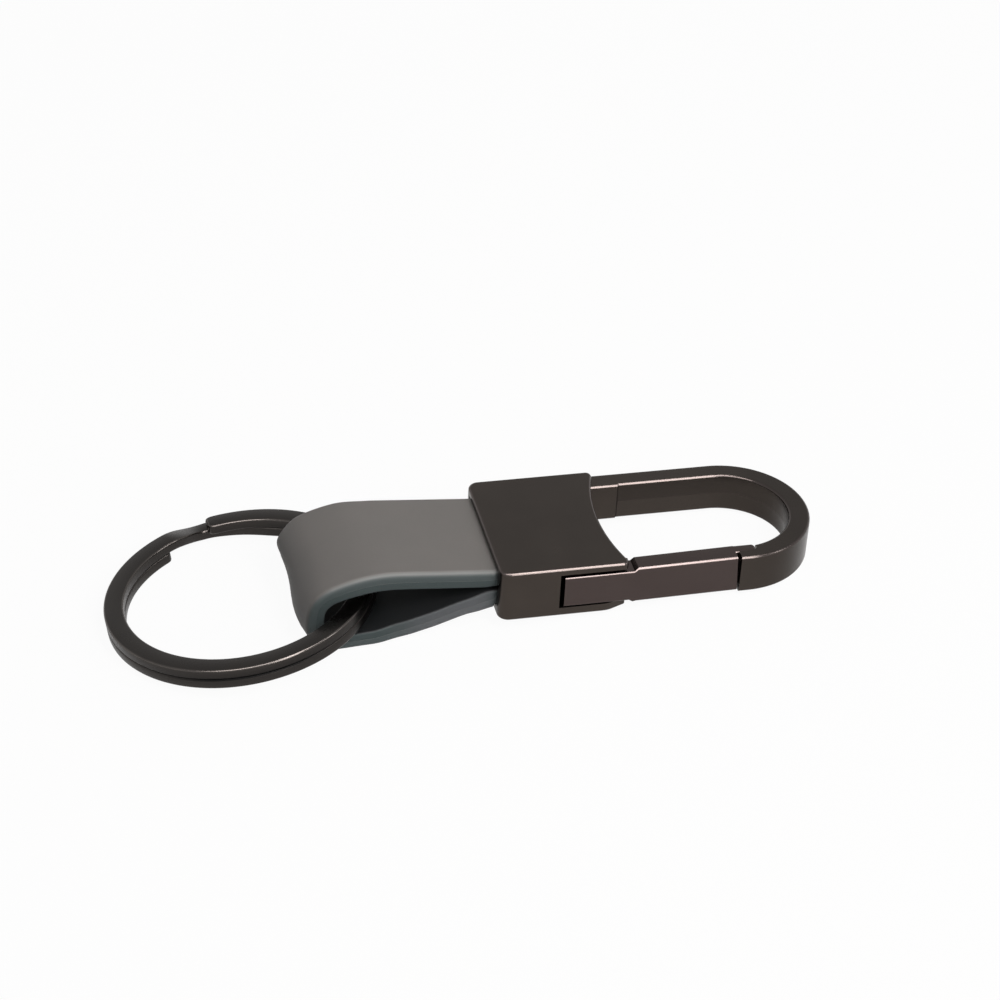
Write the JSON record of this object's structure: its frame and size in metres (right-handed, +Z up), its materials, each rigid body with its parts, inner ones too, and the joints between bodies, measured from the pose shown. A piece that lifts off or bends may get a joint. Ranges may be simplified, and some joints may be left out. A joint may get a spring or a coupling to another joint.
{
  "type": "belt key clip",
  "caption": "Cast spring-gate hook with a folded leather strap that carries a split ring for keys.",
  "frame": {"origin": "on the ground under the middle of the whole object as it lies", "axes": "+X from the split ring towards the hook's round end, +Y across, away from the gate, +Z up"},
  "size_m": [0.0898, 0.035, 0.0101],
  "materials": {
    "body_metal": "satin",
    "gate_metal": "satin",
    "pin_steel": "satin",
    "spring_steel": "satin",
    "strap_leather": "smooth, matt",
    "strap_lining": "smooth, matt",
    "ring_metal": "satin"
  },
  "bodies": {
    "clip": {"clip_body": "body_metal", "gate_pin": "pin_steel", "gate_spring": "spring_steel", "strap_leather": "strap_leather", "strap_lining": "strap_lining", "strap_pins": "pin_steel"},
    "gate": {"gate": "gate_metal"},
    "ring": {"split_ring": "ring_metal"}
  },
  "joints": [
    {"name": "gate_hinge", "type": "hinge", "parent": "clip", "child": "gate", "pos_m": [0.01277, -0.00991, 0.0048], "axis": [0.068, 0, 0.9977], "range_deg": [0, 25], "stiffness_Nm_per_rad": 0.03, "springref_deg": -28.65, "deforming": ["gate_spring"]},
    {"name": "ring_spin", "type": "hinge", "parent": "clip", "child": "ring", "pos_m": [-0.02791, -0.0005, 0.00293], "axis": [-0.0831, 0.0419, 0.9957], "continuous": true}
  ]
}
